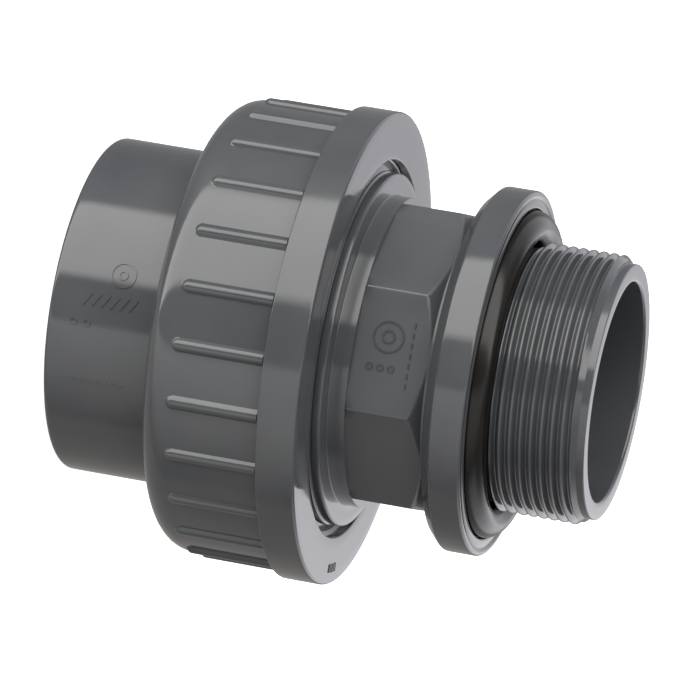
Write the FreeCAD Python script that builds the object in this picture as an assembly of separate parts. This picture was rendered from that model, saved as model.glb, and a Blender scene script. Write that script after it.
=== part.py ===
"""Pipe union, 63 mm solvent socket to a 2 inch parallel male thread, in grey PVC-U.

The pipe axis is +Z. The part stands on the mouth of its solvent socket at z = 0 and the male thread
points up. From the bottom: socket end, union nut around it, threaded bush with a spanner octagon, a
sealing flange and the male thread. Two rubber rings seal it: one between the socket end and the
bush, one in the flange face.

Every length is in millimetres. Each separate piece is written to its own STEP file.
"""

import math
import os

import FreeCAD
import Part

# ---- Driving dimensions ---------------------------------------------------------------------

# Socket end: the tail that the pipe is cemented into.
TAIL_R = 37.15            # outside of the socket
SOCKET_R = 31.6           # bore for a 63 mm pipe
SOCKET_DEPTH = 38.0       # how far the pipe goes in
WATERWAY_R = 26.5         # bore past the pipe stop
SOCKET_LEAD = 1.5         # chamfer at the socket's mouth
COLLAR_R = 39.4           # collar that the nut pulls on
COLLAR_LOW_Z = 33.0       # face that the nut pulls on
SEAL_FACE_Z = 41.0        # flat face that the ring seals against

# Union nut.
NUT_LOW_Z = 25.6
NUT_TOP_Z = 61.9
NUT_R = 50.5              # barrel between the ribs
NUT_SHOULDER_ROUND = 6.2  # round between the lower face and the barrel
NUT_HOLE_R = 37.7         # hole around the tail
NUT_SHOULDER_Z = 32.9     # inner shoulder, which bears on the collar
NUT_RIM_R = 52.6          # plain rim above the ribs
NUT_RIM_LOW_Z = 53.2
NUT_MOUTH_R = 42.05       # counterbore at the open end
NUT_MOUTH_DEPTH = 2.2
NUT_RELIEF_R = 42.2       # thread run-out inside
NUT_RELIEF_TOP_Z = 44.5

# Grip ribs on the nut.
RIB_COUNT = 25
RIB_ROUND = 1.6           # radius of a rib's rounded back
RIB_TOP_R = 51.5
RIB_LOW_Z = 32.2
RIB_SUNK = 1.0            # how far a rib runs into the rim
RIB_FIRST_ANGLE = 6.6     # degrees from -Y, where the first rib stands

# Union thread, between the nut and the bush.
UNION_PITCH = 4.0
UNION_MAJOR_R = 41.6      # crest on the bush
UNION_MINOR_R = 39.4      # root on the bush
UNION_CLEARANCE = 0.35    # radial, at crest and root
UNION_FLANK = 15.0        # degrees from square to the axis
UNION_CREST = 1.3         # width of the ridge's top on the bush
FLANK_PLAY = 0.4          # how much wider the nut's groove is than the ridge
NUT_THREAD_LEAD = 1.6     # slope at each end of the nut's thread
BUSH_THREAD_LEAD = 2.0    # slope at the lower end of the bush's thread
CUTTER_OVERLAP = 0.5      # how far a thread's cutter reaches past the surface that it cuts

# Threaded bush.
BUSH_LOW_Z = 41.2
BUSH_THREAD_TOP_Z = 60.6
BUSH_FACE_Z = 63.6        # face inside the nut's open end
BUSH_FACE_R = 39.2
NECK_R = 34.45
OCTAGON_LOW_Z = 67.5
OCTAGON_TOP_Z = 84.0
OCTAGON_FLATS = 65.0      # across the flats
OCTAGON_LEAD_Z = 67.9     # where the corners reach their full width
OCTAGON_CORNER = 22.3     # degrees from -Y to the first corner
CORE_DROP = 0.2           # how far the round core lies under the flats
FLANGE_R = 40.4
FLANGE_LOW_Z = 85.7
FLANGE_BACK_BEVEL = 2.5   # bevel between the flange's lower face and its rim
FLANGE_TOP_Z = 95.0
OUTLET_R = 24.2           # bore under the male thread
END_Z = 119.1

# Male thread: 2 inch parallel pipe thread, 11 threads to the inch.
PIPE_PITCH = 25.4 / 11
PIPE_MAJOR_R = 59.614 / 2
PIPE_MINOR_R = 56.656 / 2
PIPE_FLANK = 27.5         # degrees from square to the axis
PIPE_ROOT_WIDTH = 0.36    # flat at the bottom of the groove
PIPE_UNDERCUT = 0.2       # how far the plain part below the thread lies under its root
PIPE_LOW_Z = 98.0
PIPE_LAND_R = 28.2        # plain land past the last groove
PIPE_LAND_Z = 116.4       # where the land starts
PIPE_LEAD = 1.5           # length of the slope from the crests down to the land

# Rubber rings.
FLANGE_RING_R = 32.7      # middle of the ring's section
FLANGE_RING_SECTION = 7.0
JOINT_RING_R = 34.1
JOINT_RING_HEIGHT = 4.38  # squeezed in its groove
JOINT_RING_WIDTH = 5.5
JOINT_RING_BULGE = 0.45   # rounding of its sides, as a share of its height
GROOVE_INNER_R = 31.2
GROOVE_OUTER_R = 37.0
GROOVE_TOP_Z = 45.4
FLANGE_GROOVE_R = 36.5
FLANGE_GROOVE_Z = 91.6
RING_SEAT_GAP = 0.02      # between a resting ring and the face that it lies on

PARTS_FOLDER = "parts"
AXIS = FreeCAD.Vector(0, 0, 1)
ORIGIN = FreeCAD.Vector(0, 0, 0)


# ---- Helpers ----------------------------------------------------------------------------------

def point(r, z):
    """A point of a profile, in the half plane where Y is zero."""
    return FreeCAD.Vector(r, 0, z)


def rounded_wire(corners):
    """A closed wire through (r, z) or (r, z, radius) corners, each corner rounded to its radius."""
    places = [point(c[0], c[1]) for c in corners]
    radii = [c[2] if len(c) > 2 else 0.0 for c in corners]
    count = len(places)
    entries = []
    for i, here in enumerate(places):
        if not radii[i]:
            entries.append((here, None, here))
            continue
        to_last = (places[i - 1] - here).normalize()
        to_next = (places[(i + 1) % count] - here).normalize()
        half = to_last.getAngle(to_next) / 2
        reach = radii[i] / math.tan(half)
        middle = (to_last + to_next).normalize()
        centre = here + middle * (radii[i] / math.sin(half))
        entries.append((here + to_last * reach, centre - middle * radii[i], here + to_next * reach))
    edges = []
    for i, (start, through, end) in enumerate(entries):
        if through:
            edges.append(Part.Arc(start, through, end).toShape())
        following = entries[(i + 1) % count][0]
        if end.distanceToPoint(following) > 1e-6:
            edges.append(Part.LineSegment(end, following).toShape())
    return Part.Wire(edges)


def turned(corners):
    """The solid that a closed profile sweeps around the axis."""
    return Part.Face(rounded_wire(corners)).revolve(ORIGIN, AXIS, 360)


def helical_cutter(pitch, low_z, height, radius, section):
    """A solid swept along a right-hand helix. section is (r, z) corners, with z from low_z."""
    spine = Part.makeLongHelix(pitch, height, radius, 0, False)
    spine.translate(FreeCAD.Vector(0, 0, low_z))
    corners = [point(r, low_z + z) for r, z in section]
    outline = Part.makePolygon(corners + corners[:1])
    sweep = Part.BRepOffsetAPI.MakePipeShell(Part.Wire(spine.Edges))
    sweep.setFrenetMode(True)
    sweep.add(outline)
    sweep.build()
    sweep.makeSolid()
    return sweep.shape()


def around(angle):
    """Turns something that stands on +X to an angle from -Y, towards +X."""
    return FreeCAD.Rotation(AXIS, angle - 90)


def write(name, shape):
    """Writes one piece and prints what it is."""
    shape = shape.removeSplitter()
    solids = shape.Solids
    kept = solids[0] if len(solids) == 1 else Part.makeCompound(solids)
    kept.exportStep(os.path.join(PARTS_FOLDER, name + ".step"))
    box = kept.BoundBox
    print(f"{name}: {len(solids)} solid, valid {kept.isValid()}, {kept.Volume / 1000:.1f} cm3, "
          f"z {box.ZMin:.2f} to {box.ZMax:.2f}, radius {box.XMax:.2f}")


# ---- Pieces -----------------------------------------------------------------------------------

def socket_end():
    """Solvent socket with a collar at its inner end. The collar's flat face meets the ring."""
    return turned([
        (SOCKET_R + SOCKET_LEAD, 0.0),
        (TAIL_R, 0.0, 1.2),
        (TAIL_R, COLLAR_LOW_Z, 0.5),
        (COLLAR_R, COLLAR_LOW_Z, 0.5),
        (COLLAR_R, SEAL_FACE_Z, 0.8),
        (WATERWAY_R, SEAL_FACE_Z, 0.6),
        (WATERWAY_R, SOCKET_DEPTH),
        (SOCKET_R, SOCKET_DEPTH, 0.5),
        (SOCKET_R, SOCKET_LEAD),
    ])


def union_thread_groove_in_bush():
    """The spiral that is cut away between the ridges of the bush's union thread."""
    depth = UNION_MAJOR_R - UNION_MINOR_R
    slope = math.tan(math.radians(UNION_FLANK))
    top = (UNION_PITCH - UNION_CREST) / 2
    root = top - depth * slope
    over = CUTTER_OVERLAP
    section = [
        (UNION_MINOR_R, -root),
        (UNION_MAJOR_R + over, -top - over * slope),
        (UNION_MAJOR_R + over, top + over * slope),
        (UNION_MINOR_R, root),
    ]
    low = BUSH_LOW_Z - UNION_PITCH
    height = BUSH_FACE_Z + UNION_PITCH - low
    return helical_cutter(UNION_PITCH, low, height, UNION_MINOR_R, section)


def union_thread_groove_in_nut():
    """The spiral that the bush's ridge runs in, half a pitch from the bush's own groove."""
    slope = math.tan(math.radians(UNION_FLANK))
    top_r = UNION_MAJOR_R + UNION_CLEARANCE
    half = (UNION_CREST + FLANK_PLAY) / 2 - UNION_CLEARANCE * slope
    low_r = UNION_MINOR_R + UNION_CLEARANCE - CUTTER_OVERLAP
    low_half = half + (top_r - low_r) * slope
    section = [
        (low_r, -low_half),
        (top_r, -half),
        (top_r, half),
        (low_r, low_half),
    ]
    low = BUSH_LOW_Z - UNION_PITCH + UNION_PITCH / 2
    height = NUT_TOP_Z + UNION_PITCH - low
    return helical_cutter(UNION_PITCH, low, height, low_r, section)


def rib(angle):
    """One grip rib: a round bar with a round lower end, sunk into the barrel."""
    middle = RIB_TOP_R - RIB_ROUND
    low = RIB_LOW_Z + RIB_ROUND
    length = NUT_RIM_LOW_Z + RIB_SUNK - low
    bar = Part.makeCylinder(RIB_ROUND, length, point(middle, low), AXIS)
    end = Part.makeSphere(RIB_ROUND, point(middle, low), AXIS)
    shape = bar.fuse(end)
    shape.Placement = FreeCAD.Placement(ORIGIN, around(angle)).multiply(shape.Placement)
    return shape


def union_nut():
    """Nut with a rounded shoulder, ribs and a plain rim. Its inner thread takes the bush."""
    thread_r = UNION_MINOR_R + UNION_CLEARANCE
    body = turned([
        (NUT_HOLE_R, NUT_LOW_Z, 0.8),
        (NUT_R, NUT_LOW_Z, NUT_SHOULDER_ROUND),
        (NUT_R, NUT_RIM_LOW_Z, 0.3),
        (NUT_RIM_R, NUT_RIM_LOW_Z, 0.6),
        (NUT_RIM_R, NUT_TOP_Z, 0.9),
        (NUT_MOUTH_R, NUT_TOP_Z, 0.3),
        (NUT_MOUTH_R, NUT_TOP_Z - NUT_MOUTH_DEPTH),
        (thread_r, NUT_TOP_Z - NUT_MOUTH_DEPTH - NUT_THREAD_LEAD),
        (thread_r, NUT_RELIEF_TOP_Z + NUT_THREAD_LEAD),
        (NUT_RELIEF_R, NUT_RELIEF_TOP_Z),
        (NUT_RELIEF_R, NUT_SHOULDER_Z, 0.8),
        (NUT_HOLE_R, NUT_SHOULDER_Z, 0.5),
    ])
    step = 360.0 / RIB_COUNT
    ribs = [rib(RIB_FIRST_ANGLE + step * i) for i in range(RIB_COUNT)]
    body = body.multiFuse(ribs)
    return body.cut(union_thread_groove_in_nut())


def octagon():
    """The spanner flats: a prism whose upper corners are turned off."""
    corner_r = OCTAGON_FLATS / 2 / math.cos(math.pi / 8)
    corners = []
    for i in range(8):
        turn = around(OCTAGON_CORNER + 45.0 * i)
        corners.append(turn.multVec(point(corner_r, OCTAGON_LOW_Z)))
    base = Part.Face(Part.makePolygon(corners + corners[:1]))
    prism = base.extrude(FreeCAD.Vector(0, 0, OCTAGON_TOP_Z - OCTAGON_LOW_Z))
    chamfer = corner_r - OCTAGON_FLATS / 2
    limit = turned([
        (OUTLET_R + 2.0, OCTAGON_LOW_Z),
        (NECK_R, OCTAGON_LOW_Z),
        (corner_r, OCTAGON_LEAD_Z),
        (corner_r, OCTAGON_TOP_Z - chamfer),
        (OCTAGON_FLATS / 2, OCTAGON_TOP_Z),
        (OUTLET_R + 2.0, OCTAGON_TOP_Z),
    ])
    return prism.common(limit)


def pipe_thread_groove():
    """The 55 degree spiral that is cut away between the crests of the male thread."""
    depth = PIPE_MAJOR_R - PIPE_MINOR_R
    slope = math.tan(math.radians(PIPE_FLANK))
    root = PIPE_ROOT_WIDTH / 2
    over = CUTTER_OVERLAP
    top = root + (depth + over) * slope
    section = [
        (PIPE_MINOR_R, -root),
        (PIPE_MAJOR_R + over, -top),
        (PIPE_MAJOR_R + over, top),
        (PIPE_MINOR_R, root),
    ]
    low = PIPE_LOW_Z - 1.5
    height = END_Z + PIPE_PITCH - low
    return helical_cutter(PIPE_PITCH, low, height, PIPE_MINOR_R, section)


def threaded_bush():
    """Bush from the union thread to the male thread, with both ring grooves."""
    core_r = OCTAGON_FLATS / 2 - CORE_DROP
    undercut_r = PIPE_MINOR_R - PIPE_UNDERCUT
    body = turned([
        (WATERWAY_R, BUSH_LOW_Z, 0.6),
        (GROOVE_INNER_R, BUSH_LOW_Z),
        (GROOVE_INNER_R, GROOVE_TOP_Z, 0.4),
        (GROOVE_OUTER_R, GROOVE_TOP_Z, 0.4),
        (GROOVE_OUTER_R, BUSH_LOW_Z),
        (UNION_MINOR_R, BUSH_LOW_Z),
        (UNION_MAJOR_R, BUSH_LOW_Z + BUSH_THREAD_LEAD),
        (UNION_MAJOR_R, BUSH_THREAD_TOP_Z),
        (BUSH_FACE_R, BUSH_FACE_Z),
        (NECK_R, BUSH_FACE_Z, 0.3),
        (NECK_R, OCTAGON_LOW_Z),
        (core_r, OCTAGON_LOW_Z),
        (core_r, FLANGE_LOW_Z, 0.9),
        (FLANGE_R - FLANGE_BACK_BEVEL, FLANGE_LOW_Z, 0.8),
        (FLANGE_R, FLANGE_LOW_Z + FLANGE_BACK_BEVEL, 0.8),
        (FLANGE_R, FLANGE_TOP_Z, 0.8),
        (FLANGE_GROOVE_R, FLANGE_TOP_Z, 0.3),
        (FLANGE_GROOVE_R, FLANGE_GROOVE_Z, 0.5),
        (undercut_r, FLANGE_GROOVE_Z, 0.5),
        (undercut_r, PIPE_LOW_Z),
        (PIPE_MAJOR_R, PIPE_LOW_Z + 0.8),
        (PIPE_MAJOR_R, PIPE_LAND_Z - PIPE_LEAD),
        (PIPE_LAND_R, PIPE_LAND_Z),
        (PIPE_LAND_R, END_Z, 0.3),
        (OUTLET_R, END_Z, 0.5),
        (OUTLET_R, FLANGE_LOW_Z - 2.0),
        (WATERWAY_R, BUSH_FACE_Z),
    ])
    body = body.fuse(octagon())
    body = body.cut(union_thread_groove_in_bush())
    return body.cut(pipe_thread_groove())


def flange_o_ring():
    """Round ring in the flange face, which seals against whatever the male thread screws into."""
    section = FLANGE_RING_SECTION / 2
    height = FLANGE_GROOVE_Z + section + RING_SEAT_GAP
    return Part.makeTorus(FLANGE_RING_R, section, FreeCAD.Vector(0, 0, height), AXIS)


def joint_o_ring():
    """Ring between the socket end and the bush, drawn squeezed as it is in the closed union."""
    low = SEAL_FACE_Z + RING_SEAT_GAP / 2
    inner = JOINT_RING_R - JOINT_RING_WIDTH / 2
    outer = JOINT_RING_R + JOINT_RING_WIDTH / 2
    bulge = JOINT_RING_BULGE * JOINT_RING_HEIGHT
    return turned([
        (inner, low, bulge),
        (outer, low, bulge),
        (outer, low + JOINT_RING_HEIGHT, bulge),
        (inner, low + JOINT_RING_HEIGHT, bulge),
    ])


os.makedirs(PARTS_FOLDER, exist_ok=True)
write("socket_end", socket_end())
write("joint_o_ring", joint_o_ring())
write("flange_o_ring", flange_o_ring())
write("union_nut", union_nut())
write("threaded_bush", threaded_bush())
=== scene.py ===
# %% [markdown]
# A PIPE UNION IN GREY PVC-U
#
# The object joins a cemented plastic pipe to a threaded port, in a way that can be opened again.
# Five pieces make it: a socket end, a ribbed nut, a threaded bush and two rubber rings. The packed
# model is the fixed frame, and gives where each piece lies. This lesson makes the surfaces that are
# seen, finer than the frame's own, and the grey plastic and black rubber on them.

# %% Load the frame
import math

import bmesh
import bpy
import numpy as np
from mathutils import Matrix, Vector


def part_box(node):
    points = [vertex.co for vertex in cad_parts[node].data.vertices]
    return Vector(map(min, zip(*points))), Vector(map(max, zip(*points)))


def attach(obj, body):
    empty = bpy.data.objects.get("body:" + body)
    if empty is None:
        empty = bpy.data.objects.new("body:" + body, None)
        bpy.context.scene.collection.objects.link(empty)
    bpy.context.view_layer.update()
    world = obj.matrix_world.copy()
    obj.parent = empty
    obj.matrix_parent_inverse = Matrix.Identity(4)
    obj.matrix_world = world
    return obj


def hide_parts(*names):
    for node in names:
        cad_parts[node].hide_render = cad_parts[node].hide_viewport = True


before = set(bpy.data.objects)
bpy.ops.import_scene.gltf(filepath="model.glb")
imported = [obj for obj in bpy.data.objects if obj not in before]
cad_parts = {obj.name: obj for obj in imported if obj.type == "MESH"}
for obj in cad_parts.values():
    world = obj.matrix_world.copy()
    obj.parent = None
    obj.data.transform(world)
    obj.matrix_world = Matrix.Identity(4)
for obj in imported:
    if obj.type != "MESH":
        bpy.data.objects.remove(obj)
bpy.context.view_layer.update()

MM = 0.001

# %% [markdown]
# HOW EVERY PIECE IS MADE
#
# Each piece of the union goes all the way round the pipe and is open in the middle, so its surface
# is a ring that closes on itself twice: once round the axis, and once round its own section. Such a
# surface could be turned with the Screw modifier, but then ribs, threads and flats would need
# cutting with booleans, which leave ragged triangles. A grid is simpler. Its rows follow the section
# and its columns go round the axis, and ribs, flats and threads only change the radius at each
# point. The grid has no pole and no open edge, so each piece is closed by the way that it is made.


# %% A rounded section
def section(corners, arc_step=14.0):
    """Rows of a closed section from its corners, each (radius, height, rounding, rows to the next).

    A rounding of size q at a corner whose two sides meet at angle a starts q / tan(a / 2) before the
    corner and ends as far after it. The arc's centre is on the line that halves a, q / sin(a / 2)
    away. Rows along a straight side are evenly spaced. Returns an array of (radius, height) in mm.
    """
    spots = np.array([c[:2] for c in corners], float)
    count = len(corners)
    rows = []
    ends = []
    for i, corner in enumerate(corners):
        here, rounding = spots[i], corner[2]
        back = spots[i - 1] - here
        ahead = spots[(i + 1) % count] - here
        back /= np.linalg.norm(back)
        ahead /= np.linalg.norm(ahead)
        if not rounding:
            ends.append((here, here))
            rows.append(here[None, :])
            continue
        opening = math.acos(float(np.clip(back @ ahead, -1, 1)))
        middle = (back + ahead) / np.linalg.norm(back + ahead)
        centre = here + middle * rounding / math.sin(opening / 2)
        reach = rounding / math.tan(opening / 2)
        first, last = here + back * reach, here + ahead * reach
        sweep = math.pi - opening
        steps = max(2, math.ceil(math.degrees(sweep) / arc_step))
        share = np.linspace(0, 1, steps + 1)[:, None]
        start, stop = first - centre, last - centre
        arc = (np.sin((1 - share) * sweep) * start + np.sin(share * sweep) * stop) / math.sin(sweep)
        ends.append((first, last))
        rows.append(centre + arc)
    joined = []
    for i, corner in enumerate(corners):
        joined.append(rows[i])
        between = corner[3] if len(corner) > 3 else 0
        if between:
            share = np.linspace(0, 1, between + 2)[1:-1, None]
            joined.append(ends[i][1] * (1 - share) + ends[(i + 1) % count][0] * share)
    return np.concatenate(joined)


# %% A closed ring from a grid
def ring_mesh(name, radius, height, angle):
    """A closed surface from grids of radius and height (rows by columns, mm) and the columns' angles.

    A point is (radius sin angle, -radius cos angle, height), so angle 0 is -Y, the near side. Each
    face joins a point to the next row and the next column, and the last row and column join the
    first. The volume under the surface tells which way the faces look, and they are turned outwards.
    """
    rows, columns = radius.shape
    height = np.broadcast_to(height, radius.shape)
    points = np.stack([radius * np.sin(angle), -radius * np.cos(angle), height], -1) * MM
    points = points.reshape(-1, 3)
    row, column = np.meshgrid(np.arange(rows), np.arange(columns), indexing="ij")
    after, beside = (row + 1) % rows, (column + 1) % columns
    faces = np.stack([row * columns + column, row * columns + beside,
                      after * columns + beside, after * columns + column], -1).reshape(-1, 4)
    a, b, c, d = (points[faces[:, k]] for k in range(4))
    volume = np.einsum("ij,ij->i", a, np.cross(b, c) + np.cross(c, d)).sum() / 6
    if volume < 0:
        faces = faces[:, ::-1]
    mesh = bpy.data.meshes.new(name)
    mesh.vertices.add(len(points))
    mesh.vertices.foreach_set("co", points.astype(np.float32).ravel())
    mesh.loops.add(faces.size)
    mesh.loops.foreach_set("vertex_index", faces.astype(np.int32).ravel())
    mesh.polygons.add(len(faces))
    mesh.polygons.foreach_set("loop_start", np.arange(0, faces.size, 4, dtype=np.int32))
    mesh.update(calc_edges=True)
    mesh.shade_smooth()
    piece = bpy.data.objects.new(name, mesh)
    bpy.context.collection.objects.link(piece)
    print(f"{name}: {rows} rows, {columns} columns, {abs(volume) * 1e6:.1f} cm3")
    return piece


def crease(piece, degrees=34.0):
    """Keeps the shading flat across edges that turn more than this, so faces meet in a clean line."""
    piece.data.set_sharp_from_angle(angle=math.radians(degrees))


def soft_max(a, b, blend):
    """The larger of a and b, with a small hollow of size blend where they cross."""
    gap = np.clip(0.5 + 0.5 * (a - b) / blend, 0, 1)
    return a * gap + b * (1 - gap) + blend * gap * (1 - gap)


def soft_step(value, low, high):
    """Rises from 0 at low to 1 at high, level at both ends: 3s squared less 2s cubed."""
    share = np.clip((value - low) / (high - low), 0, 1)
    return share * share * (3 - 2 * share)


def screw_phase(height, angle, pitch, start):
    """How far round a right-hand thread's turn each point is: 0 on a crest, 0.5 in a groove."""
    return np.mod((height - start) / pitch - angle / (2 * math.pi), 1.0)


# %% [markdown]
# THE SOCKET END
#
# This is the tail that a 63 mm pipe is cemented into. It is a plain tube with a rounded mouth, a
# stop inside for the pipe's end, and a collar at the far end, which the nut pulls on. It could be a
# turned curve. Here it is the plainest use of the grid: every column is the same section.

# %% Make the socket end
_, tail_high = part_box("socket_end")
TAIL_R = 37.15
COLLAR_R = tail_high[0] / MM
SEAL_FACE_Z = tail_high[2] / MM
COLLAR_LOW_Z = 33.0
SOCKET_R = 31.6
SOCKET_DEPTH = 38.0
WATERWAY_R = 26.5
SOCKET_LEAD = 1.4

tail_section = section([
    (SOCKET_R + SOCKET_LEAD, 0.0, 0.5, 1),
    (TAIL_R, 0.0, 1.2, 16),
    (TAIL_R, COLLAR_LOW_Z, 0.5, 1),
    (COLLAR_R, COLLAR_LOW_Z, 0.5, 3),
    (COLLAR_R, SEAL_FACE_Z, 0.8, 3),
    (WATERWAY_R, SEAL_FACE_Z, 0.6, 1),
    (WATERWAY_R, SOCKET_DEPTH, 0.4, 2),
    (SOCKET_R, SOCKET_DEPTH, 0.5, 16),
    (SOCKET_R, SOCKET_LEAD, 0.5),
])
TAIL_COLUMNS = 180
tail_angle = np.arange(TAIL_COLUMNS) * 2 * math.pi / TAIL_COLUMNS
tail_radius = np.repeat(tail_section[:, :1], TAIL_COLUMNS, axis=1)
socket_tail = ring_mesh("socket_tail", tail_radius, tail_section[:, 1:], tail_angle)
crease(socket_tail)
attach(socket_tail, "socket_end")
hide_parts("socket_end")

# %% [markdown]
# THE UNION NUT
#
# The nut is a cup with a hole in its floor. Its barrel has half-round grip ribs with a round lower
# tip, and they run up into a plain rim. Inside is a coarse thread. The ribs could be separate bars
# joined by a boolean. Instead they raise the radius of the barrel's rows, so rib and barrel are one
# moulded skin with a small hollow between them. The columns crowd together at each rib, where the
# surface turns quickly, and are sparse between ribs. At both ends of the thread the wall comes in to
# the crest radius all the way round. Those two rings cut into the bush's ridges, a known fault.

# %% Lay out the nut's columns and rows
nut_low, nut_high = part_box("union_nut")
NUT_LOW_Z = nut_low[2] / MM
NUT_TOP_Z = nut_high[2] / MM
RIM_R = nut_high[0] / MM
RIM_LOW_Z = 53.2
RIM_GROOVE = 0.4
NUT_R = 50.5
SHOULDER_ROUND = 6.2
NUT_HOLE_R = 37.7
NUT_SHOULDER_Z = 32.9
NUT_MOUTH_R = 42.05
NUT_MOUTH_DEPTH = 2.2
UNION_PITCH = 4.0
UNION_START = 39.2
NUT_CREST_R = 39.75
NUT_ROOT_R = 41.95
NUT_RELIEF_TOP_Z = 44.5
NUT_THREAD_LOW_Z = 46.0
NUT_THREAD_LEAD = 1.6
NUT_THREAD_TOP_Z = NUT_TOP_Z - NUT_MOUTH_DEPTH - NUT_THREAD_LEAD
NUT_FADE_IN = (46.0, 46.6)
NUT_FADE_OUT = (57.4, 58.0)
RIB_COUNT = 25
RIB_FIRST = math.radians(6.6)
RIB_ROUND = 1.6
RIB_TOP_R = 51.5
RIB_TIP_Z = 32.2
RIB_HOLLOW = 0.14
RIB_REACH = math.radians(2.3)
RIB_TIP_LENGTH = 3.0
ROW_SLACK = 0.01
THREAD_SLACK = 0.1

rib_pitch = 2 * math.pi / RIB_COUNT
near_rib = np.linspace(-1, 1, 19) * RIB_REACH
between = np.linspace(near_rib[-1], rib_pitch + near_rib[0], 8)[1:-1]
one_pitch = np.concatenate([near_rib, between])
nut_angle = (RIB_FIRST + rib_pitch * np.arange(RIB_COUNT)[:, None] + one_pitch[None, :]).ravel()
nut_section = section([
    (NUT_HOLE_R, NUT_LOW_Z, 0.8, 1),
    (NUT_R, NUT_LOW_Z, SHOULDER_ROUND, 2),
    (NUT_R, RIB_TIP_Z, 0.0, 14),
    (NUT_R, RIB_TIP_Z + RIB_TIP_LENGTH, 0.0, 4),
    (NUT_R, RIM_LOW_Z - RIM_GROOVE, 0.0),
    (NUT_R - RIM_GROOVE, RIM_LOW_Z - RIM_GROOVE / 2, 0.0),
    (NUT_R - RIM_GROOVE, RIM_LOW_Z, 0.0),
    (RIM_R, RIM_LOW_Z, 0.35, 2),
    (RIM_R, NUT_TOP_Z, 0.7, 3),
    (NUT_MOUTH_R, NUT_TOP_Z, 0.3),
    (NUT_MOUTH_R, NUT_TOP_Z - NUT_MOUTH_DEPTH, 0.0),
    (NUT_CREST_R, NUT_THREAD_TOP_Z, 0.0, 34),
    (NUT_CREST_R, NUT_THREAD_LOW_Z, 0.0),
    (NUT_MOUTH_R, NUT_RELIEF_TOP_Z, 0.0),
    (NUT_MOUTH_R, NUT_SHOULDER_Z, 0.8),
    (NUT_HOLE_R, NUT_SHOULDER_Z, 0.5, 1),
], arc_step=11.0)
print("nut rows:", len(nut_section), "columns:", len(nut_angle))


# %% Raise the ribs and cut the nut's thread
def rib_radius(height, angle):
    """How far out a round bar with a round tip reaches, and nothing away from it.

    With x across the rib, y below the tip's centre and R the bar's own radius, the bar's surface is
    at bar centre + sqrt(R squared - x squared - y squared).
    """
    turn = np.mod(angle - RIB_FIRST + rib_pitch / 2, rib_pitch) - rib_pitch / 2
    across = turn * RIB_TOP_R
    below = np.clip(RIB_TIP_Z + RIB_ROUND - height, 0, None)
    rise = RIB_ROUND ** 2 - across ** 2 - below ** 2
    return RIB_TOP_R - RIB_ROUND + np.sqrt(np.clip(rise, 0, None))


def union_ridge(phase, crest, root, crest_share, flank_share):
    """A flat-topped ridge: crest for the first share of a turn, a slope, root, and a slope back."""
    from_crest = np.abs(np.mod(phase + 0.5, 1.0) - 0.5)
    down = np.clip((from_crest - crest_share / 2) / flank_share, 0, 1)
    return crest + (root - crest) * soft_step(down, 0, 1)


nut_z = nut_section[:, 1:]
nut_grid = np.repeat(nut_section[:, :1], len(nut_angle), axis=1)
nut_row_r, nut_row_z = nut_section[:, 0], nut_section[:, 1]
on_barrel = np.abs(nut_row_r - NUT_R) < ROW_SLACK
on_barrel &= (nut_row_z > RIB_TIP_Z - ROW_SLACK) & (nut_row_z < RIM_LOW_Z + ROW_SLACK)
barrel_z = nut_z[on_barrel]
nut_grid[on_barrel] = soft_max(nut_grid[on_barrel], rib_radius(barrel_z, nut_angle), RIB_HOLLOW)
in_thread = nut_row_r < NUT_CREST_R + ROW_SLACK
in_thread &= nut_row_z > NUT_THREAD_LOW_Z - THREAD_SLACK
in_thread &= nut_row_z < NUT_THREAD_TOP_Z + THREAD_SLACK
thread_z = nut_z[in_thread]
nut_phase = screw_phase(thread_z, nut_angle, UNION_PITCH, UNION_START)
nut_ridge = union_ridge(nut_phase, NUT_CREST_R, NUT_ROOT_R, crest_share=0.36, flank_share=0.16)
ends = soft_step(thread_z, *NUT_FADE_IN) * (1 - soft_step(thread_z, *NUT_FADE_OUT))
nut_grid[in_thread] = NUT_CREST_R + (nut_ridge - NUT_CREST_R) * ends
ribbed_nut = ring_mesh("ribbed_nut", nut_grid, nut_z, nut_angle)
crease(ribbed_nut, 40.0)
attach(ribbed_nut, "union_nut")
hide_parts("union_nut")

# %% [markdown]
# THE THREADED BUSH
#
# One moulding carries four things: the union thread inside the nut, a short neck, the octagon for a
# spanner with a flange above it, and the male pipe thread. It could be four primitives and three
# booleans. Here the rows run once up the outside and back down the bore. On the octagon's rows, the
# radius at each angle is the nearest flat's, cut down by the chamfer cones at both ends, so the
# corners and their chamfers come out of one line. On the thread rows a right-hand screw phase sets
# the radius. Columns crowd together at the eight corners.

# %% Lay out the bush's columns and rows
bush_low, bush_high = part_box("threaded_bush")
BUSH_LOW_Z = bush_low[2] / MM
END_Z = bush_high[2] / MM
UNION_CREST_R = bush_high[0] / MM
UNION_ROOT_R = 39.4
BUSH_FACE_Z = 63.6
BUSH_FACE_R = 39.2
NECK_R = 34.45
OCTAGON_LOW_Z = 67.5
OCTAGON_TOP_Z = 84.0
FLAT_R = 32.5
CORNER_R = FLAT_R / math.cos(math.pi / 8)
CORNER_ANGLE = math.radians(22.3)
FLANGE_R = 40.4
FLANGE_BACK_Z = 85.7
FLANGE_FACE_Z = 95.0
RECESS_R = 36.5
RECESS_Z = 91.6
PIPE_PITCH = 25.4 / 11
PIPE_MAJOR_R = 59.614 / 2
PIPE_MINOR_R = 56.656 / 2
PIPE_LOW_Z = 97.2
PIPE_CREST_Z = END_Z - 0.3
PIPE_LAND_R = 28.2
PIPE_LAND_Z = 117.4
OUTLET_R = 24.2
RING_BED_IN_R = 31.2
RING_BED_OUT_R = 37.0
RING_BED_Z = 45.4
UNION_LEAD = 0.6
UNION_TOP_Z = 60.4
STEP_LOW_Z = 61.0
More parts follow.
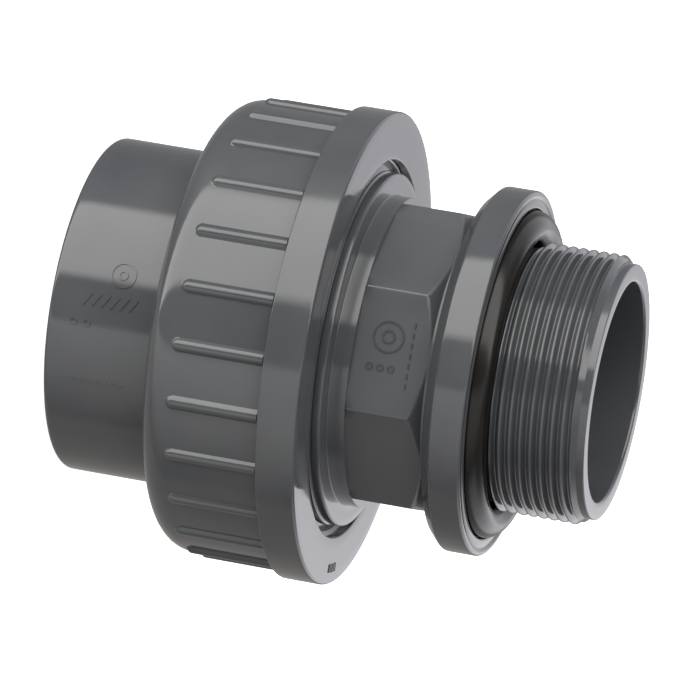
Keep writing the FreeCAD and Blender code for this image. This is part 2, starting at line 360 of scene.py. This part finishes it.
STEP_MIDDLE_Z = 61.35
STEP_TOP_Z = 61.8
STEP_DEPTH = 0.35
BUSH_FADE_IN = (42.4, 44.2)
BUSH_FADE_OUT = (59.6, 60.8)
LOW_CONE_SLOPE = 1.6
EDGE_ROW = 0.01
CORNER_ROOM = 0.2
CORNER_CUT = 2.9
CORNER_DIP = 0.05
CORNER_DIP_WIDTH = 0.14
CORNER_REACH = math.radians(0.45)
BACK_BEVEL_IN = 2.6
BACK_BEVEL_UP = 2.4
FACE_LINE_OUT_R = 38.9
FACE_LINE_R = 38.6
FACE_LINE_IN_R = 38.3
FACE_LINE_DEPTH = 0.2
PIPE_ROOT_R = PIPE_MINOR_R - 0.2
PIPE_FLANK = math.radians(27.5)
PIPE_ROUND_SHARE = 0.137329
PIPE_FADE = 1.6
LAND_STEP = 0.05
BORE_STEP_Z = 86.0
BORE_STEP = 0.15

near_corner = np.linspace(-1, 1, 7) * CORNER_REACH
along_flat = np.linspace(near_corner[-1], math.pi / 4 + near_corner[0], 20)[1:-1]
one_side = np.concatenate([near_corner, along_flat])
bush_angle = (CORNER_ANGLE + math.pi / 4 * np.arange(8)[:, None] + one_side[None, :]).ravel()
bush_section = section([
    (WATERWAY_R, BUSH_LOW_Z, 0.6),
    (RING_BED_IN_R, BUSH_LOW_Z, 0.2),
    (RING_BED_IN_R, RING_BED_Z, 0.4),
    (RING_BED_OUT_R, RING_BED_Z, 0.4),
    (RING_BED_OUT_R, BUSH_LOW_Z, 0.2),
    (UNION_ROOT_R - 0.2, BUSH_LOW_Z, 0.2, 3),
    (UNION_ROOT_R, BUSH_LOW_Z + UNION_LEAD, 0.0, 56),
    (UNION_ROOT_R, UNION_TOP_Z, 0.0, 1),
    (UNION_ROOT_R, STEP_LOW_Z, 0.15),
    (BUSH_FACE_R - STEP_DEPTH, STEP_MIDDLE_Z, 0.15),
    (BUSH_FACE_R, STEP_TOP_Z, 0.2, 1),
    (BUSH_FACE_R, BUSH_FACE_Z, 0.5, 2),
    (NECK_R, BUSH_FACE_Z, 0.25, 1),
    (NECK_R, OCTAGON_LOW_Z, 0.0),
    (NECK_R - EDGE_ROW, OCTAGON_LOW_Z + EDGE_ROW, 0.0),
    (CORNER_R + CORNER_ROOM, OCTAGON_LOW_Z + 0.5, 0.0, 6),
    (CORNER_R + CORNER_ROOM, OCTAGON_TOP_Z - CORNER_CUT, 0.0, 12),
    (FLAT_R, OCTAGON_TOP_Z, 0.0),
    (FLAT_R + 0.1, FLANGE_BACK_Z, 0.9, 1),
    (FLANGE_R - BACK_BEVEL_IN, FLANGE_BACK_Z, 0.8),
    (FLANGE_R, FLANGE_BACK_Z + BACK_BEVEL_UP, 0.8, 2),
    (FLANGE_R, FLANGE_FACE_Z, 0.7),
    (FACE_LINE_OUT_R, FLANGE_FACE_Z, 0.0),
    (FACE_LINE_R, FLANGE_FACE_Z - FACE_LINE_DEPTH, 0.1),
    (FACE_LINE_IN_R, FLANGE_FACE_Z, 0.0),
    (RECESS_R, FLANGE_FACE_Z, 0.35),
    (RECESS_R, RECESS_Z, 0.6),
    (PIPE_ROOT_R, RECESS_Z, 0.6, 2),
    (PIPE_ROOT_R, PIPE_LOW_Z, 0.0, 160),
    (PIPE_ROOT_R, PIPE_LAND_Z, 0.0),
    (PIPE_LAND_R, PIPE_LAND_Z + LAND_STEP, 0.0, 1),
    (PIPE_LAND_R, END_Z, 0.3, 2),
    (OUTLET_R, END_Z, 0.6, 10),
    (OUTLET_R + BORE_STEP, BORE_STEP_Z, 0.8, 12),
    (WATERWAY_R, BUSH_FACE_Z, 0.8, 8),
], arc_step=15.0)
print("bush rows:", len(bush_section), "columns:", len(bush_angle))


# %% Shape the octagon and both threads
def octagon_radius(angle):
    """The distance to the nearest flat along each angle: flat distance / cos(angle from its middle).

    At each corner a narrow dip, with x the distance from the corner and w its width, takes off
    CORNER_DIP times e to the power minus (x / w) squared, so that the edge isn't sharp.
    """
    turn = np.mod(angle - CORNER_ANGLE, math.pi / 4) - math.pi / 8
    sharp = FLAT_R / np.cos(turn)
    from_corner = (math.pi / 8 - np.abs(turn)) * CORNER_R
    return sharp - CORNER_DIP * np.exp(-(from_corner / CORNER_DIP_WIDTH) ** 2)


def pipe_radius(height, angle):
    """A 55 degree pipe thread with round crests and roots, and a plain land at its end.

    Across half a pitch from the crest, the line is an arc down to the flank, the straight flank, and
    the root's arc, which is the crest's turned about the middle of the flank.
    """
    from_crest = 0.5 - np.abs(screw_phase(height, angle, PIPE_PITCH, PIPE_CREST_Z) - 0.5)
    across = from_crest * PIPE_PITCH
    round_r = PIPE_ROUND_SHARE * PIPE_PITCH
    half = (PIPE_MAJOR_R - PIPE_MINOR_R) / 2
    to_middle = PIPE_PITCH / 4 - np.abs(across - PIPE_PITCH / 4)
    arc = half - round_r + np.sqrt(np.clip(round_r ** 2 - to_middle ** 2, 0, None))
    line = (PIPE_PITCH / 4 - to_middle) / math.tan(PIPE_FLANK)
    rise = np.where(to_middle < round_r * math.cos(PIPE_FLANK), arc, line)
    full = (PIPE_MAJOR_R + PIPE_MINOR_R) / 2 + rise * np.where(across < PIPE_PITCH / 4, 1, -1)
    cut = PIPE_LAND_R + np.clip(PIPE_LAND_Z - height, 0, None)
    start = soft_step(height, PIPE_LOW_Z, PIPE_LOW_Z + PIPE_FADE)
    return np.minimum(PIPE_ROOT_R + (full - PIPE_ROOT_R) * start, cut)


bush_z = bush_section[:, 1:]
bush_row_z = bush_z[:, 0]
bush_row_r = bush_section[:, 0]
bush_grid = np.repeat(bush_section[:, :1], len(bush_angle), axis=1)
outside = np.arange(len(bush_row_z)) < np.argmax(bush_row_z)
on_octagon = outside & (bush_row_z > OCTAGON_LOW_Z + EDGE_ROW / 2)
on_octagon &= bush_row_z < OCTAGON_TOP_Z + ROW_SLACK
low_cone = NECK_R + (bush_z - OCTAGON_LOW_Z) * LOW_CONE_SLOPE
high_cone = FLAT_R + (OCTAGON_TOP_Z - bush_z)
cone = np.minimum(low_cone, high_cone)
bush_grid[on_octagon] = np.minimum(octagon_radius(bush_angle), cone[on_octagon])
on_union = outside & (bush_row_z > BUSH_LOW_Z + UNION_LEAD - THREAD_SLACK)
on_union &= (bush_row_z < STEP_LOW_Z) & (bush_row_r > UNION_ROOT_R - THREAD_SLACK / 2)
union_z = bush_z[on_union]
bush_phase = screw_phase(union_z, bush_angle, UNION_PITCH, UNION_START + UNION_PITCH / 2)
ridge = union_ridge(bush_phase, UNION_CREST_R, UNION_ROOT_R, crest_share=0.33, flank_share=0.15)
ends = soft_step(union_z, *BUSH_FADE_IN) * (1 - soft_step(union_z, *BUSH_FADE_OUT))
bush_grid[on_union] = UNION_ROOT_R + (ridge - UNION_ROOT_R) * ends
on_pipe = outside & (bush_row_z >= PIPE_LOW_Z)
on_pipe &= bush_row_r < PIPE_MINOR_R
on_pipe &= bush_row_z < PIPE_LAND_Z + ROW_SLACK
bush_grid[on_pipe] = pipe_radius(bush_z[on_pipe], bush_angle)
moulded_bush = ring_mesh("moulded_bush", bush_grid, bush_z, bush_angle)
# The octagon's faces take the second material: a rougher grey whose lighter base colour is painted
# light on the flats.
on_flats = np.repeat(on_octagon, len(bush_angle)).astype(np.int32)
moulded_bush.data.polygons.foreach_set("material_index", on_flats)
crease(moulded_bush, 38.0)
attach(moulded_bush, "bush")
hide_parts("threaded_bush")

# %% [markdown]
# THE TWO RUBBER RINGS
#
# The ring in the flange face is round in section and stands proud of the flange. The joint ring is
# squeezed in its groove to a flat oval. Both could be a torus primitive. A grid lets the section
# carry the fine flash line that the two halves of a mould leave on a real ring.

# %% Make the rings
RING_WIDTHS = {"flange_o_ring": 7.0, "joint_o_ring": 5.5}
RING_ROWS = 56
RING_COLUMNS = 200
FLASH_RISE = 0.04
FLASH_WIDTH = 0.22


def rubber_ring(name, node, body, power):
    """A ring that fills its node's box: x to the power p plus y to the power p is 1, round or oval.

    A flash line, a narrow rise of 0.04 mm, runs along the outermost and innermost lines.
    """
    low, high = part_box(node)
    width = RING_WIDTHS[node]
    tall = (high[2] - low[2]) / MM
    middle_r = high[0] / MM - width / 2
    middle_z = (low[2] + high[2]) / 2 / MM
    around = np.linspace(0, 2 * math.pi, RING_ROWS, endpoint=False)
    across = np.sign(np.cos(around)) * np.abs(np.cos(around)) ** (2 / power)
    up = np.sign(np.sin(around)) * np.abs(np.sin(around)) ** (2 / power)
    flash = FLASH_RISE * np.exp(-(np.sin(around) * tall / 2 / FLASH_WIDTH) ** 2)
    radius = middle_r + across * (width / 2 - FLASH_RISE + flash)
    height = middle_z + up * tall / 2
    angle = np.arange(RING_COLUMNS) * 2 * math.pi / RING_COLUMNS
    grid = np.repeat(radius[:, None], RING_COLUMNS, axis=1)
    ring = ring_mesh(name, grid, height[:, None], angle)
    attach(ring, body)
    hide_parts(node)
    return ring


flange_ring = rubber_ring("flange_ring", "flange_o_ring", "bush", 2.0)
joint_ring = rubber_ring("joint_ring", "joint_o_ring", "bush", 2.6)

# %% [markdown]
# THE MOULDED MARKS
#
# A real fitting carries small raised marks for its size and material. Plain rings, dashes and dots
# stand for them here, and say nothing. They could be a bump in the plastic, but then they would be
# missing from the shape. So each is a low bead, a flat-topped section carried along a short path,
# and the path is laid on the surface that the mark belongs to.

# %% Draw the marks
MARK_LIFT = 0.2
MARK_SUNK = 0.15
BEAD_CORNERS = (-0.5, -0.34, 0.34, 0.5)
CIRCLE_POINTS = 28
DASH_POINTS = 5


def circle(up, along, radius):
    """A closed path: centre + radius times (sine, cosine) of an even turn."""
    turn = np.linspace(0, 2 * math.pi, CIRCLE_POINTS, endpoint=False)
    return np.stack([up + radius * np.sin(turn), along + radius * np.cos(turn)], 1), True


def dash(up, along, length, slant=90.0):
    """A straight path about its middle, slant degrees from the pipe's own direction."""
    share = np.linspace(-0.5, 0.5, DASH_POINTS)[:, None]
    lean = math.radians(slant)
    return np.array([up, along]) + share * length * np.array([math.sin(lean), math.cos(lean)]), False


def row_of(count, up, along, gap, length, slant=90.0):
    """The same dash, repeated along the pipe."""
    return [dash(up, along + gap * i, length, slant) for i in range(count)]


def marks(name, body, width, paths, lay):
    """Carries a flat-topped section along each path, and lays it on a surface.

    At each station the section's corners stand half a width to either side of the path, square to
    it, with the top a little narrower. lay turns (up, along, lift) in mm into a point in mm.
    """
    points, faces = [], []
    first = 0
    for path, closed in paths:
        count = len(path)
        ahead = np.roll(path, -1, 0) - np.roll(path, 1, 0) if closed else np.gradient(path, axis=0)
        ahead /= np.linalg.norm(ahead, axis=1, keepdims=True)
        side = np.stack([-ahead[:, 1], ahead[:, 0]], 1)
        shift = np.array(BEAD_CORNERS) * width
        spots = path[:, None, :] + side[:, None, :] * shift[None, :, None]
        lift = np.broadcast_to([-MARK_SUNK, MARK_LIFT, MARK_LIFT, -MARK_SUNK], spots.shape[:2])
        points.append(np.stack(lay(spots[..., 0], spots[..., 1], lift), -1).reshape(-1, 3) * MM)
        station = np.arange(count if closed else count - 1)[:, None]
        corner = np.arange(4)[None, :]
        here, following = station * 4, (station + 1) % count * 4
        beside = (corner + 1) % 4
        quads = np.stack([here + corner, here + beside, following + beside, following + corner], -1)
        faces.extend((quads.reshape(-1, 4) + first).tolist())
        if not closed:
            faces.append([first, first + 1, first + 2, first + 3])
            faces.append([first + 4 * count - 1 - k for k in range(4)])
        first += 4 * count
    mesh = bpy.data.meshes.new(name)
    mesh.from_pydata(np.concatenate(points).tolist(), [], faces)
    shell = bmesh.new()
    shell.from_mesh(mesh)
    bmesh.ops.recalc_face_normals(shell, faces=shell.faces)
    shell.to_mesh(mesh)
    shell.free()
    piece = bpy.data.objects.new(name, mesh)
    bpy.context.collection.objects.link(piece)
    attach(piece, body)
    print(f"{name}: {len(paths)} marks, {len(faces)} faces")
    return piece


def on_tail(up, along, lift):
    """Wraps a mark round the socket's outside. Up is towards -X."""
    angle = -up / TAIL_R
    return (TAIL_R + lift) * np.sin(angle), -(TAIL_R + lift) * np.cos(angle), along


def on_near_flat(up, along, lift):
    """Lays a mark on the flat that faces -Y."""
    return -up, -(FLAT_R + lift) * np.ones_like(up), along


def on_rim_face(up, along, lift):
    """Lays a mark on the nut's upper face, along pointing outwards."""
    angle = RIM_MARK_ANGLE - up / NUT_R
    return along * np.sin(angle), -along * np.cos(angle), NUT_TOP_Z + lift


RIM_MARK_ANGLE = math.radians(95.0)
tail_paths = [circle(6.8, 15.4, 2.7), circle(6.8, 15.4, 0.9)]
tail_paths += row_of(6, 0.6, 8.4, 2.1, 3.2, 58.0)
tail_paths += [circle(-4.6, 6.0, 0.7), circle(-4.6, 9.0, 0.7)]
tail_paths += row_of(7, -17.4, 7.0, 1.8, 1.0, 0.0)
tail_marks = marks("tail_marks", "socket_end", 0.55, tail_paths, on_tail)
flat_paths = [circle(3.4, 74.6, 3.3), circle(3.4, 74.6, 1.3)]
flat_paths += [circle(-3.4, 71.4 + 2.4 * i, 0.65) for i in range(3)]
flat_paths += [dash(6.6 - 2.2 * i, 79.9, 1.3) for i in range(7)]
flat_marks = marks("flat_marks", "bush", 0.6, flat_paths, on_near_flat)
rim_paths = [dash(1.3 * i - 2.6, 48.9, 1.9, 0.0) for i in range(5)]
rim_marks = marks("rim_marks", "union_nut", 0.5, rim_paths, on_rim_face)

# %% [markdown]
# THE GREY PLASTIC
#
# Moulded PVC-U is one colour all through, with a satin gloss. Up close it isn't even: there are
# faint flow lines from the mould, a fine skin texture, and patches that are a little more or less
# glossy. Noise on Object coordinates makes all of them, because the pieces have no image and the
# pattern has to stay on each piece as it turns. Numbers that are the same all over are set on the
# shader itself.

# %% Mix the plastic
PVC_IOR = 1.53
RUBBER_IOR = 1.36


def noise(nodes, links, vector, scale, detail=3.0, rough=0.5):
    """Cloudy noise on the given coordinates, with so many clouds to the metre."""
    cloud = nodes.new("ShaderNodeTexNoise")
    cloud.inputs["Scale"].default_value = scale
    cloud.inputs["Detail"].default_value = detail
    cloud.inputs["Roughness"].default_value = rough
    links.new(vector, cloud.inputs["Vector"])
    return cloud.outputs["Fac"]


def spread(nodes, links, value, low, high):
    """Sends 0 to 1 onto low to high."""
    reach = nodes.new("ShaderNodeMapRange")
    reach.inputs["From Min"].default_value = 0.3
    reach.inputs["From Max"].default_value = 0.7
    reach.inputs["To Min"].default_value = low
    reach.inputs["To Max"].default_value = high
    links.new(value, reach.inputs["Value"])
    return reach.outputs["Result"]


def stretched(nodes, links, vector, scale):
    """Object coordinates scaled along each axis, so that noise is drawn out into streaks."""
    mapping = nodes.new("ShaderNodeMapping")
    mapping.inputs["Scale"].default_value = scale
    links.new(vector, mapping.inputs["Vector"])
    return mapping.outputs["Vector"]


def bump(nodes, links, height, distance, strength, below=None):
    """Turns a height into a tilt of the surface, on top of another bump."""
    tilt = nodes.new("ShaderNodeBump")
    tilt.inputs["Distance"].default_value = distance
    tilt.inputs["Strength"].default_value = strength
    links.new(height, tilt.inputs["Height"])
    if below is not None:
        links.new(below, tilt.inputs["Normal"])
    return tilt.outputs["Normal"]


def grey_plastic(name, dark, light, gloss, flow_strength):
    """Grey PVC-U with flow lines, a fine skin and patches of more and less gloss."""
    material = bpy.data.materials.new(name)
    material.use_nodes = True
    nodes, links = material.node_tree.nodes, material.node_tree.links
    shader = nodes["Principled BSDF"]
    where = nodes.new("ShaderNodeTexCoord").outputs["Object"]
    patches = noise(nodes, links, where, scale=45.0, detail=4.0)
    streaks = noise(nodes, links, stretched(nodes, links, where, (220, 220, 28)), scale=1.0)
    skin = noise(nodes, links, where, scale=1600.0, detail=2.0)
    tone = nodes.new("ShaderNodeMix")
    tone.data_type = "RGBA"
    tone.inputs["A"].default_value = (*dark, 1)
    tone.inputs["B"].default_value = (*light, 1)
    links.new(spread(nodes, links, patches, 0.0, 1.0), tone.inputs["Factor"])
    links.new(tone.outputs["Result"], shader.inputs["Base Color"])
    links.new(spread(nodes, links, patches, *gloss), shader.inputs["Roughness"])
    shader.inputs["IOR"].default_value = PVC_IOR
    flow = bump(nodes, links, streaks, distance=0.00004, strength=flow_strength)
    skin_bump = bump(nodes, links, skin, distance=0.00001, strength=0.25, below=flow)
    links.new(skin_bump, shader.inputs["Normal"])
    return material


def black_rubber():
    """Black rubber with a warm cast, a soft sheen, and a fine matt skin."""
    material = bpy.data.materials.new("epdm_rubber")
    material.use_nodes = True
    nodes, links = material.node_tree.nodes, material.node_tree.links
    shader = nodes["Principled BSDF"]
    where = nodes.new("ShaderNodeTexCoord").outputs["Object"]
    bloom = noise(nodes, links, where, scale=90.0, detail=4.0)
    skin = noise(nodes, links, where, scale=2200.0, detail=2.0)
    tone = nodes.new("ShaderNodeMix")
    tone.data_type = "RGBA"
    tone.inputs["A"].default_value = (0.0040, 0.0034, 0.0028, 1)
    tone.inputs["B"].default_value = (0.0080, 0.0070, 0.0057, 1)
    links.new(spread(nodes, links, bloom, 0.0, 1.0), tone.inputs["Factor"])
    links.new(tone.outputs["Result"], shader.inputs["Base Color"])
    links.new(spread(nodes, links, bloom, 0.17, 0.26), shader.inputs["Roughness"])
    shader.inputs["IOR"].default_value = RUBBER_IOR
    skin_bump = bump(nodes, links, skin, distance=0.00002, strength=0.35)
    links.new(skin_bump, shader.inputs["Normal"])
    return material


pvc_grey = grey_plastic(
    "moulded_pvc_grey", (0.044, 0.046, 0.051), (0.057, 0.059, 0.063), (0.09, 0.13), 0.25)
# The spanner flats get a second grey. Its higher roughness is real, from a rougher mould face. Its
# slightly lighter base colour is painted light that brightens the flats.
flats_matt_and_painted_light = grey_plastic(
    "moulded_pvc_matt_painted_light", (0.050, 0.052, 0.057), (0.064, 0.066, 0.070), (0.28, 0.36), 0.5)
rubber = black_rubber()
for piece in (socket_tail, ribbed_nut, moulded_bush, tail_marks, flat_marks, rim_marks):
    piece.data.materials.append(pvc_grey)
moulded_bush.data.materials.append(flats_matt_and_painted_light)
for piece in (flange_ring, joint_ring):
    piece.data.materials.append(rubber)
print("materials:", pvc_grey.name, flats_matt_and_painted_light.name, rubber.name)

# %% [markdown]
# THE STUDIO
#
# The part stands on a pale floor. Glossy grey plastic shows what is around it, so the room is chosen
# for its reflections, and there are no lamps. Area lamps could give the same bands, but each would
# need its own place and size. Here the brightness of the walls depends only on the compass
# direction. A bright panel on one side of the camera and a dimmer one on the other give broad bands
# along the pipe, with a dark strip between them. Behind the part, a pale sky stands above the walls,
# and it is dim overhead. The floor is seen by the camera and takes shadows, but it is left out of
# the part's reflections and of the soft light on it.

# %% Floor and room
bpy.ops.mesh.primitive_plane_add(size=8.0)
floor = bpy.context.object
floor.name = "studio_floor"
floor_paint = bpy.data.materials.new("pale_floor")
floor_paint.use_nodes = True
floor_shader = floor_paint.node_tree.nodes["Principled BSDF"]
floor_shader.inputs["Base Color"].default_value = (0.85, 0.85, 0.85, 1)
floor_shader.inputs["Roughness"].default_value = 1.0
floor_shader.inputs["Emission Color"].default_value = (1, 1, 1, 1)
floor_shader.inputs["Emission Strength"].default_value = 0.8
floor.data.materials.append(floor_paint)
floor.visible_glossy = False
floor.visible_diffuse = False
floor.visible_shadow = False

# %% The room's walls and sky
WALLS = [
    # what stands there, azimuth in degrees from -Y towards -X, brightness, tint
    ("warm back wall", -180, 0.42, (1.00, 0.96, 0.90)),
    ("warm back wall", -92, 0.46, (1.00, 0.96, 0.90)),
    ("gap", -84, 0.24, (1.00, 0.97, 0.93)),
    ("fill panel, far edge", -74, 0.45, (1.00, 0.98, 0.95)),
    ("fill panel", -50, 1.00, (1.00, 0.99, 0.96)),
    ("fill panel, near edge", -17, 1.32, (1.00, 1.00, 0.98)),
    ("dark behind the camera", -14, 0.22, (0.95, 0.98, 1.02)),
    ("dark behind the camera", 14, 0.22, (0.95, 0.98, 1.02)),
    ("main panel, near edge", 19, 4.10, (1.00, 0.99, 0.96)),
    ("main panel, far edge", 68, 4.40, (1.00, 0.99, 0.96)),
    ("cool side wall", 73, 0.62, (0.94, 0.97, 1.00)),
    ("cool side wall", 100, 0.30, (0.94, 0.96, 1.00)),
    ("cool back wall", 135, 0.24, (0.96, 0.97, 1.00)),
    ("cool back wall", 180, 0.40, (0.98, 0.98, 1.00)),
]
BRIGHTEST = 5.0
SKY_LOW = (1.02, 1.02, 1.08)
SKY_HIGH = (1.56, 1.54, 1.61)
ZENITH = (0.32, 0.32, 0.34)
SKY_SPLIT_X = (-0.03, 0.05)
SKY_BEHIND_Y = (-0.25, 0.15)
SKY_LINE_Z = (0.05, 0.15)
ZENITH_Z = (0.5, 0.75)


def math_node(nodes, links, operation, *values):
    """One sum on numbers or on other nodes' results."""
    node = nodes.new("ShaderNodeMath")
    node.operation = operation
    for slot, value in zip(node.inputs, values):
        if isinstance(value, (int, float)):
            slot.default_value = value
        else:
            links.new(value, slot)
    return node.outputs["Value"]


def smooth_step(nodes, links, value, low, high):
    """0 under low, 1 over high, and a smooth rise between."""
    node = nodes.new("ShaderNodeMapRange")
    node.interpolation_type = "SMOOTHSTEP"
    node.inputs["From Min"].default_value = low
    node.inputs["From Max"].default_value = high
    links.new(value, node.inputs["Value"])
    return node.outputs["Result"]


def mix_colour(nodes, links, share, a, b):
    """Goes from colour a to colour b as share goes from 0 to 1."""
    node = nodes.new("ShaderNodeMix")
    node.data_type = "RGBA"
    links.new(share, node.inputs["Factor"])
    for name, value in (("A", a), ("B", b)):
        if isinstance(value, tuple):
            node.inputs[name].default_value = (*value, 1)
        else:
            links.new(value, node.inputs[name])
    return node.outputs["Result"]


def studio_room():
    """Walls whose brightness depends on the compass direction, a sky, and white for the camera."""
    room = bpy.data.worlds.new("studio_room")
    room.use_nodes = True
    nodes, links = room.node_tree.nodes, room.node_tree.links
    split = nodes.new("ShaderNodeSeparateXYZ")
    links.new(nodes.new("ShaderNodeTexCoord").outputs["Generated"], split.inputs["Vector"])
    x, y, z = (split.outputs[name] for name in "XYZ")
    back_x = math_node(nodes, links, "MULTIPLY", x, -1.0)
    back_y = math_node(nodes, links, "MULTIPLY", y, -1.0)
    azimuth = math_node(nodes, links, "ARCTAN2", back_x, back_y)
    turn = math_node(nodes, links, "MULTIPLY_ADD", azimuth, 0.5 / math.pi, 0.5)
    walls = nodes.new("ShaderNodeValToRGB")
    links.new(turn, walls.inputs["Fac"])
    stops = walls.color_ramp.elements
    while len(stops) > 1:
        stops.remove(stops[-1])
    for i, (_, degrees, light, tint) in enumerate(WALLS):
        place = (degrees + 180) / 360
        stop = stops[0] if i == 0 else stops.new(place)
        stop.position = place
        stop.color = [channel * light / BRIGHTEST for channel in tint] + [1]
    sky = mix_colour(nodes, links, smooth_step(nodes, links, x, *SKY_SPLIT_X), SKY_LOW, SKY_HIGH)
    sky = mix_colour(nodes, links, smooth_step(nodes, links, z, *ZENITH_Z), sky, ZENITH)
    dimmed = nodes.new("ShaderNodeVectorMath")
    dimmed.operation = "SCALE"
    dimmed.inputs["Scale"].default_value = 1 / BRIGHTEST
    links.new(sky, dimmed.inputs[0])
    above = smooth_step(nodes, links, z, *SKY_LINE_Z)
    behind = smooth_step(nodes, links, y, *SKY_BEHIND_Y)
    above = math_node(nodes, links, "MULTIPLY", above, behind)
    indoors = mix_colour(nodes, links, above, walls.outputs["Color"], dimmed.outputs["Vector"])
    seen = nodes.new("ShaderNodeLightPath").outputs["Is Camera Ray"]
    white = (1 / BRIGHTEST, 1 / BRIGHTEST, 1 / BRIGHTEST)
    background = nodes["Background"]
    links.new(mix_colour(nodes, links, seen, indoors, white), background.inputs["Color"])
    background.inputs["Strength"].default_value = BRIGHTEST
    return room


bpy.context.scene.world = studio_room()
print("room: walls in", len(WALLS), "steps of brightness")

# %% [markdown]
# THE CAMERA
#
# The camera looks at the side of the part from far away through a long lens, a little from the
# male thread's end. It is rolled over, so that the upright part lies across the picture.

# %% Camera
view = bpy.data.cameras.new("studio_camera")
view.sensor_width = 36.0
view.lens = 308.6
camera = bpy.data.objects.new("studio_camera", view)
camera.location = (0.0, -1.2788, 0.3742)
look_at = Vector((0.00077, 0.0, 0.0586))
CAMERA_ROLL = math.radians(99.8)
aim = (look_at - camera.location).to_track_quat("-Z", "Y").to_matrix()
camera.rotation_euler = (aim @ Matrix.Rotation(CAMERA_ROLL, 3, "Z")).to_euler()
bpy.context.collection.objects.link(camera)
bpy.context.scene.camera = camera
bpy.context.scene.view_settings.view_transform = "Standard"
